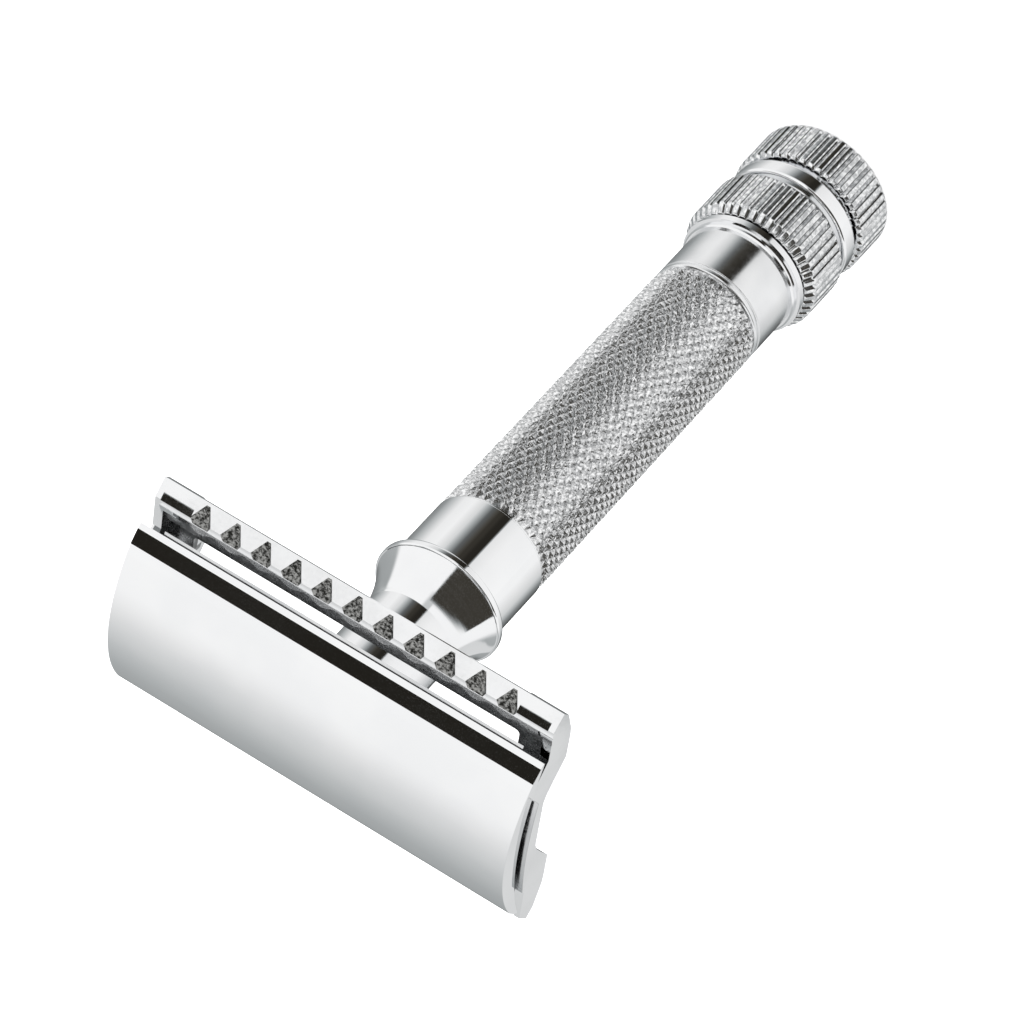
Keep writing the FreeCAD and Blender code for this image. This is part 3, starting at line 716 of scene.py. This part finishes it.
def underside_cutter(low, high, reach):
    """The hollow between the end blocks, below the bars and beside the middle rib."""
    step = (SLOT_INNER + SLOT_OUTER) / 2
    wide = high.y * 1.1
    below = low.z - CLEAR
    outline = [(-wide, below), (wide, below), (wide, BAR_BASE_Z), (step, BAR_BASE_Z), (step, PLATE_UNDER),
               (-step, PLATE_UNDER), (-step, BAR_BASE_Z), (-wide, BAR_BASE_Z)]
    return prism("relief", outline, -reach, reach)


def slot_cutters(low, high, reach):
    """The two lather slots, with rounded corners."""
    slots = []
    for side in (1, -1):
        near, far = side * (SLOT_INNER + 0.04 * MM), side * SLOT_OUTER
        outline = soften([(-reach, near), (reach, near), (reach, far), (-reach, far)], SLOT_CORNER, 8)
        slots.append(prism("slot", outline, low.z - CLEAR, high.z + CLEAR, "Z"))
    return join("slots", slots)


def end_seat_cutters(high):
    """Steps at both ends, where the blade's tabs lie clear of the plate."""
    seats = []
    for end in (1, -1):
        near, far = end * END_SEAT_REACH, end * high.x * 1.2
        outline = [(near, -SLOT_OUTER), (far, -SLOT_OUTER), (far, SLOT_OUTER), (near, SLOT_OUTER)]
        seats.append(prism("seat", outline, END_SEAT_Z, CROWN, "Z"))
    return join("seats", seats)


def hole_cutters(low, high):
    """The hole for the spigot and the two ways for the locating pins."""
    holes = []
    for along, radius in ((0, SPIGOT_HOLE), (PIN_REACH, PIN_HOLE), (-PIN_REACH, PIN_HOLE)):
        holes.append(prism("hole", disc_outline(along, 0, radius), low.z - CLEAR, high.z + CLEAR, "Z"))
    return join("holes", holes)


def dress_plate(plate, materials, high):
    """Bright plate with rough notches darkened to near black by painted shade, and rougher trays greyed by
    painted shade, lightest at the tray's far end.
    """
    place_piece(plate, materials["guard"], "handle", ["base_plate"])
    finishes = ["guard", "notch", "tray_shade", "far_tray_shade"]
    for finish in finishes[1:]:
        plate.data.materials.append(materials[finish])
    for face in plate.data.polygons:
        # painted shade: notch faces get the near-black metal
        if in_notch(face, high.y):
            face.material_index = finishes.index("notch")
        # painted shade: tray faces get a darkened metal, a lighter one at the tray's far end
        elif in_tray(face.center, high):
            far_end = face.center.x <= -SLOT_LENGTH / 2 - 0.6 * MM
            face.material_index = finishes.index("far_tray_shade" if far_end else "tray_shade")


def make_guard_plate(materials):
    """Guard plate: crowned seat, trays with lather slots, notched bars, end rims and deep end blocks."""
    low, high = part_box("base_plate")
    reach = SLOT_LENGTH / 2
    relief_end = high.x - RELIEF_MARGIN
    plate = prism("guard_plate", plate_outline(low, high), low.x, high.x)
    draft_ends(plate, low.z)
    cut(plate, tray_cutter(high))
    cut(plate, scallop_cutter(high))
    cut(plate, underside_cutter(low, high, reach))
    cut(plate, slot_cutters(low, high, reach))
    cut(plate, end_seat_cutters(high))
    cut(plate, notch_cutters(high.y))
    cut(plate, join("reliefs", [crest_relief_cutter(RELIEF_START, relief_end),
                                crest_relief_cutter(-relief_end, -RELIEF_START)]))
    cut(plate, hole_cutters(low, high))
    round_edges(plate, 0.08 * MM, 2, 14)
    shade(plate, 32)
    weigh_normals(plate)
    dress_plate(plate, materials, high)
    return plate


# ---------------------------------------------------------------- handle

def spline_profile(knots, steps=10):
    """Smooth curve through (radius, height) knots: a cubic between each two, led by their neighbours."""
    points = []
    count = len(knots)
    for index in range(count - 1):
        before = Vector(knots[max(index - 1, 0)])
        start = Vector(knots[index])
        end = Vector(knots[index + 1])
        after = Vector(knots[min(index + 2, count - 1)])
        for step in range(steps):
            share = step / steps
            point = 0.5 * ((2 * start) + (end - before) * share
                           + (2 * before - 5 * start + 4 * end - after) * share ** 2
                           + (3 * start - before - 3 * end + after) * share ** 3)
            points.append(tuple(point))
    points.append(tuple(knots[-1]))
    return points


def neck_knots(rim, foot):
    """Points of the neck's outer curve: full at the rim, slim under the plate."""
    flare = [(rim - 0.2 * MM, foot), (rim - 0.71 * MM, foot + 0.8 * MM), (rim - 1.21 * MM, foot + 1.8 * MM),
             (rim - 1.6 * MM, foot + 2.8 * MM), (rim - 1.93 * MM, foot + 4.0 * MM)]
    waist = [(NECK_WAIST, foot + 5.2 * MM), (NECK_WAIST, PLATE_UNDER - 3.0 * MM),
             (NECK_WAIST + 0.15 * MM, PLATE_UNDER - 1.4 * MM), (NECK_WAIST + 0.7 * MM, PLATE_UNDER)]
    return flare + waist


def make_neck(materials):
    """Flared neck, with the spigot that goes down into the grip."""
    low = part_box("neck_cone")[0]
    ring_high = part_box("rim_ring")[1]
    outer = spline_profile(neck_knots(ring_high.x, ring_high.z))
    spigot = [(NECK_BORE, low.z), (NECK_TAIL, low.z), (NECK_TAIL, ring_high.z)]
    neck = lathe("neck", spigot + outer + [(NECK_BORE, PLATE_UNDER)])
    weigh_normals(neck)
    place_piece(neck, materials["turned"], "handle", ["neck_cone"])


def make_rim_bead(materials):
    """Rounded bead between the neck and the grip."""
    low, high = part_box("rim_ring")
    rim = high.x
    bead = soften([(NECK_TAIL, low.z), (rim - 0.55 * MM, low.z), (rim, low.z + 0.35 * MM),
                   (rim, high.z - 0.12 * MM), (rim - 0.12 * MM, high.z), (NECK_TAIL, high.z)],
                  [0, 0.12 * MM, 0.45 * MM, 0.2 * MM, 0.05 * MM, 0], 5)
    ring = lathe("rim_bead", bead)
    weigh_normals(ring)
    place_piece(ring, materials["mirror"], "handle", ["rim_ring"])


def drop_loose(thing):
    """Delete the vertices that no face uses."""
    tidy = bmesh.new()
    tidy.from_mesh(thing.data)
    loose = [vert for vert in tidy.verts if not vert.link_faces]
    bmesh.ops.delete(tidy, geom=loose, context="VERTS")
    tidy.to_mesh(thing.data)
    tidy.free()


def knurl_mesh(name, low, high, root, crest, bore):
    """Diamond knurl: long pyramids with a small flat top between crossing helical grooves."""
    rows = round((high - low) / KNURL_ROW)
    columns = 2 * KNURL_COLUMNS
    rise = (high - low) / rows
    verts = []

    def ring(radius, height):
        """One ring of lattice points; returns the number of its first vertex."""
        first = len(verts)
        for column in range(columns):
            angle = 2 * math.pi * column / columns
            verts.append((radius * math.cos(angle), radius * math.sin(angle), height))
        return first

    lattice = [ring(root, low + rise * row) for row in range(rows + 1)]
    faces = []
    step_angle = 2 * math.pi / columns
    for row in range(1, rows):
        for column in range(columns):
            if (row + column) % 2:
                continue
            corners = [lattice[row] + (column + 1) % columns, lattice[row + 1] + column,
                       lattice[row] + (column - 1) % columns, lattice[row - 1] + column]
            tops = []
            for across, up in ((1, 0), (0, 1), (-1, 0), (0, -1)):
                angle = (column + across * KNURL_FLAT) * step_angle
                height = low + rise * (row + up * KNURL_FLAT)
                tops.append(len(verts))
                verts.append((crest * math.cos(angle), crest * math.sin(angle), height))
            for side in range(4):
                other = (side + 1) % 4
                faces.append((corners[side], corners[other], tops[other], tops[side]))
            faces.append(tuple(tops))
    # half diamonds along the first and last rows
    for row, inward in ((0, 1), (rows, -1)):
        for column in range(columns):
            if (row + column) % 2 == 0:
                faces.append((lattice[row] + (column - 1) % columns, lattice[row] + column,
                              lattice[row + inward] + column))
                faces.append((lattice[row] + column, lattice[row] + (column + 1) % columns,
                              lattice[row + inward] + column))
    inner_low, inner_high = ring(bore, low), ring(bore, high)
    for column in range(columns):
        step = (column + 1) % columns
        faces.append((lattice[0] + column, lattice[0] + step, inner_low + step, inner_low + column))
        faces.append((lattice[rows] + column, lattice[rows] + step, inner_high + step, inner_high + column))
        faces.append((inner_low + column, inner_low + step, inner_high + step, inner_high + column))
    knurl = build_mesh(name, verts, faces, 12)
    drop_loose(knurl)
    return knurl


def make_grip_collar(materials, foot):
    """Plain collar at the top of the grip, with a small step at its foot."""
    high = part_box("grip_barrel")[1]
    radius = high.x
    edge = 0.12 * MM
    outline = [(NECK_TAIL, foot), (radius - 0.2 * MM, foot), (radius - 0.2 * MM, foot + 0.14 * MM),
               (radius, foot + 0.3 * MM), (radius, high.z), (NECK_TAIL, high.z)]
    collar = lathe("grip_collar", soften(outline, [0, 0, 0, edge, edge, 0], 3))
    weigh_normals(collar)
    place_piece(collar, materials["mirror"], "handle", ["grip_barrel"])


def make_grip_band(materials, top):
    """Smooth band below the knurl, with a fine bead at its top."""
    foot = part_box("grip_barrel")[0].z
    tail_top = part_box("tail_ring")[1].z
    band = BAND_RADIUS
    outline = [
        (BARREL_BORE, foot), (TAIL_SPIGOT, foot), (TAIL_SPIGOT, tail_top), (band, tail_top),
        (band, top - 0.75 * MM), (band - 0.16 * MM, top - 0.66 * MM), (band - 0.16 * MM, top - 0.52 * MM),
        (band, top - 0.42 * MM), (band, top - 0.12 * MM), (band - 0.15 * MM, top), (BARREL_BORE, top),
    ]
    radii = [0, 0, 0, 0, 0.05 * MM, 0, 0, 0.06 * MM, 0.1 * MM, 0, 0]
    lower = lathe("grip_band", soften(outline, radii, 3))
    weigh_normals(lower)
    place_piece(lower, materials["satin"], "handle", [])


def make_grip(materials):
    """Grip: plain collar, knurled length and smooth lower band."""
    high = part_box("grip_barrel")[1]
    collar_foot = high.z - COLLAR_LENGTH
    knurl_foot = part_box("tail_ring")[1].z + BAND_LENGTH
    make_grip_collar(materials, collar_foot)
    knurl = knurl_mesh("grip_knurl", knurl_foot, collar_foot, high.x - KNURL_DEPTH, high.x, BARREL_BORE)
    place_piece(knurl, materials["knurl"], "handle", [])
    make_grip_band(materials, knurl_foot)


def flute_depth(angle, count, share):
    """0 on a ridge and 1 at the floor of a groove, round a fluted ring."""
    phase = (angle * count / (2 * math.pi)) % 1.0
    away = abs(phase - 0.5) / (share / 2)
    if away >= 1:
        return 0.0
    return 0.5 + 0.5 * math.cos(math.pi * away)


def knob_outline(radius, top):
    """Section of the knob: two bands, a groove and a ring between them, and the bore for the rod."""
    profile = [
        (PLUG_RADIUS, 0), (radius, 0), (radius, BAND_TWO - 0.25 * MM), (radius - 0.25 * MM, BAND_TWO),
        (KNOB_GROOVE, BAND_TWO + 0.05 * MM), (KNOB_GROOVE, KNOB_RING_FOOT), (KNOB_RING, KNOB_RING_FOOT),
        (KNOB_RING, KNOB_RING_TOP), (KNOB_GROOVE, KNOB_RING_TOP), (KNOB_GROOVE, BAND_ONE - 0.05 * MM),
        (radius - 0.3 * MM, BAND_ONE), (radius, BAND_ONE + 0.3 * MM), (radius, top - 0.75 * MM),
        (radius - 0.62 * MM, top), (KNOB_BORE, top), (KNOB_BORE, 3.2 * MM), (1.25 * MM, 3.2 * MM),
        (1.25 * MM, 2.1 * MM), (2.3 * MM, 2.1 * MM), (2.3 * MM, 0.9 * MM), (PLUG_RADIUS, 0.9 * MM),
    ]
    radii = [0, 0.3 * MM, 0.16 * MM, 0.1 * MM, 0, 0, 0.7 * MM, 0.7 * MM, 0, 0,
             0.1 * MM, 0.16 * MM, 0.5 * MM, 0.25 * MM, 0, 0, 0, 0, 0, 0, 0]
    return soften(profile, radii, 5)


def make_knob(materials):
    """Knob: two fluted bands with a groove and a bright ring between them."""
    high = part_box("knob")[1]
    radius = high.y

    def fluted(here, height, angle):
        """Flutes run the whole length of both bands, over their rounded ends."""
        on_ring = here < KNOB_RING + 0.05 * MM and BAND_TWO < height < BAND_ONE
        if on_ring or here < radius - 0.8 * MM:
            return here
        return here - FLUTE_DEPTH * flute_depth(angle, FLUTE_COUNT, FLUTE_SHARE)

    knob = lathe("knob_fluted", knob_outline(radius, high.z), FLUTE_COUNT * 12, 45, fluted)
    weigh_normals(knob)
    place_piece(knob, materials["fluted"], "knob", ["knob"])
    knob.data.materials.append(materials["turned"])
    for face in knob.data.polygons:
        if BAND_TWO < face.center.z < BAND_ONE and face.center.xy.length < KNOB_RING + 0.05 * MM:
            face.material_index = 1


def dress_cad(materials):
    """CAD nodes that stay get a turned or polished metal of their own."""
    finishes = {
        "cap_stud": "steel", "cap_pins": "mirror", "plate_spigot": "brass", "tail_ring": "turned",
        "knob_end_plug": "turned", "knob_screw": "steel", "draw_rod": "steel", "draw_socket": "brass",
        "socket_pin": "steel", "upper_bush": "brass", "lower_bush": "brass", "retaining_ring": "steel",
        "spring_washer": "steel",
    }
    for node, finish in finishes.items():
        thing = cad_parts[node]
        for slot in thing.material_slots:
            slot.material = materials[finish]


# ---------------------------------------------------------------- studio

def make_floor():
    """Plain pale floor. Mirrors don't see it: they see the studio's own light, which the world holds."""
    floor = build_mesh("floor", [(-4, -4, 0), (4, -4, 0), (4, 4, 0), (-4, 4, 0)], [(0, 1, 2, 3)])
    material = bpy.data.materials.new("pale_floor")
    material.use_nodes = True
    build = Nodes(material.node_tree)
    place = build.add("ShaderNodeTexCoord").outputs["Object"]
    patches = build.span(build.noise(place, 6, 2), 0.3, 0.7)
    tone = build.blend(patches, (0.84, 0.84, 0.84), (0.83, 0.83, 0.835))
    shader = build.add("ShaderNodeBsdfPrincipled")
    shader.inputs["Roughness"].default_value = 0.9
    shader.inputs["Specular IOR Level"].default_value = 0.0
    build.link(tone, shader.inputs["Base Color"])
    build.link(shader.outputs[0], build.add("ShaderNodeOutputMaterial").inputs["Surface"])
    floor.data.materials.append(material)
    floor.visible_glossy = False


def ramp(build, value, stops):
    """Brightness along a value from 0 to 1, as (position, brightness) stops."""
    node = build.add("ShaderNodeValToRGB")
    node.color_ramp.interpolation = "LINEAR"
    elements = node.color_ramp.elements
    elements[0].position, elements[1].position = stops[0][0], stops[-1][0]
    for position, _ in stops[1:-1]:
        elements.new(position)
    for element, (position, brightness) in zip(elements, stops):
        element.color = (brightness, brightness, brightness, 1)
    build.link(value, node.inputs[0])
    return node.outputs[0]


def light_below(build, azimuth):
    """What polished metal sees below the horizon, by bearing: white, with a dark flag in front (-90 degrees)
    and a dim stretch behind."""
    around = build.math("ADD", build.math("DIVIDE", azimuth, 2 * math.pi), 0.5)
    stops = [
        (-180, 1.0), (-131, 0.94), (-108, 0.84), (-105, 0.03), (-84, 0.035), (-70, 0.12), (-61, 0.4),
        (-52, 0.72), (-33, 0.95), (-11, 0.9), (10, 0.58), (30, 0.33), (60, 0.2), (89, 0.09), (109, 0.25),
        (130, 0.67), (165, 0.98),
    ]
    return ramp(build, around, [(degrees / 360 + 0.5, brightness) for degrees, brightness in stops])


def light_above(build, azimuth, z):
    """What it sees above the horizon: white, with a grey sweep behind that is darkest low down."""
    sweep = ramp(build, build.span(z, -0.4, 1.0, 0.0, 1.0, False), [
        (0.0, 0.37), (0.286, 0.43), (0.386, 0.475), (0.471, 0.52), (0.55, 0.57), (0.621, 0.63),
        (0.693, 0.69), (0.764, 0.76), (0.821, 0.84), (0.864, 0.91), (0.907, 0.97), (1.0, 1.0),
    ])
    behind = build.product(build.span(azimuth, math.radians(-2), math.radians(8)),
                           build.span(azimuth, math.radians(133), math.radians(146), 1.0, 0.0))
    return build.math("ADD", build.product(sweep, behind), build.math("SUBTRACT", 1.0, behind))


def overhead_flag(build, y, z):
    """Thin dark flag overhead, which the cap's front bevel mirrors."""
    lean = build.math("DIVIDE", y, build.math("MAXIMUM", z, 0.05))
    return build.product(build.span(lean, -0.27, -0.25, 1.0, 0.0), build.span(lean, -0.65, -0.6),
                         build.span(z, 0.55, 0.6))


def left_flags(build, azimuth, z):
    """Tall dark flag round the front left, with a narrow, fainter one below its end, which the neck
    mirrors."""
    tall = build.product(build.span(z, -0.12, 0.0), build.span(z, 0.62, 0.7, 1.0, 0.0))
    left = build.math("MAXIMUM", build.span(azimuth, math.radians(-98), math.radians(-94), 1.0, 0.0),
                      build.span(azimuth, math.radians(167), math.radians(169)))
    post = build.product(build.span(azimuth, math.radians(-109), math.radians(-106)),
                         build.span(azimuth, math.radians(-96), math.radians(-88), 1.0, 0.0),
                         build.span(z, 0.0, 0.1, 0.4, 0.0))
    return build.math("MAXIMUM", build.product(tall, left), post)


def end_panel(build, azimuth, z):
    """Soft panel at the far left, low down, which the head's end faces mirror."""
    return build.product(build.span(z, -0.566, -0.55), build.span(z, -0.1, 0.0, 1.0, 0.0),
                         build.span(azimuth, math.radians(100), math.radians(106)),
                         build.span(azimuth, math.radians(150), math.radians(160), 1.0, 0.0))


def studio_light(build):
    """The light that polished metal sees in each direction, cooler in its greys and warmer in its darks."""
    parts = build.add("ShaderNodeSeparateXYZ")
    build.link(build.add("ShaderNodeTexCoord").outputs["Generated"], parts.inputs[0])
    x, y, z = parts.outputs
    azimuth = build.math("ARCTAN2", y, x)
    level = build.span(z, -0.47, -0.3)
    light = build.math("ADD", build.product(light_above(build, azimuth, z), level),
                       build.product(light_below(build, azimuth), build.math("SUBTRACT", 1.0, level)))
    light = build.math("MAXIMUM", light, build.product(end_panel(build, azimuth, z), 0.72))
    dark = build.math("MAXIMUM", build.product(overhead_flag(build, y, z), 0.985),
                      build.product(left_flags(build, azimuth, z), 0.96))
    light = build.product(light, build.math("SUBTRACT", 1.0, dark))
    tint = build.blend(build.span(light, 0.25, 0.9), (0.95, 1.0, 1.01), (1.0, 1.0, 1.0))
    tint = build.blend(build.span(light, 0.03, 0.12), (1.1, 1.0, 0.82), tint)
    scaled = build.add("ShaderNodeVectorMath", operation="SCALE")
    build.link(tint, scaled.inputs[0])
    build.link(light, scaled.inputs["Scale"])
    return scaled.outputs[0]


def make_world():
    """Soft white studio. Mirror-like reflections see its softboxes and flags, all else an even white."""
    world = bpy.data.worlds.new("studio")
    bpy.context.scene.world = world
    world.use_nodes = True
    build = Nodes(world.node_tree)
    mirror = build.add("ShaderNodeBackground")
    build.link(studio_light(build), mirror.inputs["Color"])
    soft = build.add("ShaderNodeBackground")
    soft.inputs["Color"].default_value = (1.0, 1.0, 1.0, 1.0)
    soft.inputs["Strength"].default_value = 2.2
    mix = build.add("ShaderNodeMixShader")
    build.link(build.add("ShaderNodeLightPath").outputs["Is Glossy Ray"], mix.inputs[0])
    build.link(soft.outputs[0], mix.inputs[1])
    build.link(mirror.outputs[0], mix.inputs[2])
    build.link(mix.outputs[0], build.add("ShaderNodeOutputWorld").inputs["Surface"])


def make_camera():
    """Long lens, looking down on the head, and rolled so that the razor lies across the view."""
    azimuth = math.radians(-20.9)
    elevation = math.radians(35.71)
    roll = math.radians(-137.08)
    distance = 0.533
    target = Vector((0.0005, -0.0004, CROWN - 0.03304))
    back = Vector((math.sin(azimuth) * math.cos(elevation), -math.cos(azimuth) * math.cos(elevation),
                   math.sin(elevation)))
    right = Vector((0, 0, 1)).cross(back).normalized()
    up = back.cross(right)
    turn = Matrix((right, up, back)).transposed().to_4x4() @ Matrix.Rotation(roll, 4, "Z")
    data = bpy.data.cameras.new("camera")
    data.lens = 210
    data.sensor_width = 36
    data.clip_start = 0.01
    camera = bpy.data.objects.new("camera", data)
    camera.matrix_world = Matrix.Translation(target + back * distance) @ turn
    bpy.context.scene.collection.objects.link(camera)
    bpy.context.scene.camera = camera


materials = make_materials()
make_cap(materials)
make_blade(materials)
make_guard_plate(materials)
make_neck(materials)
make_rim_bead(materials)
make_grip(materials)
make_knob(materials)
dress_cad(materials)
make_floor()
make_world()
make_camera()
bpy.context.scene.view_settings.view_transform = "Standard"
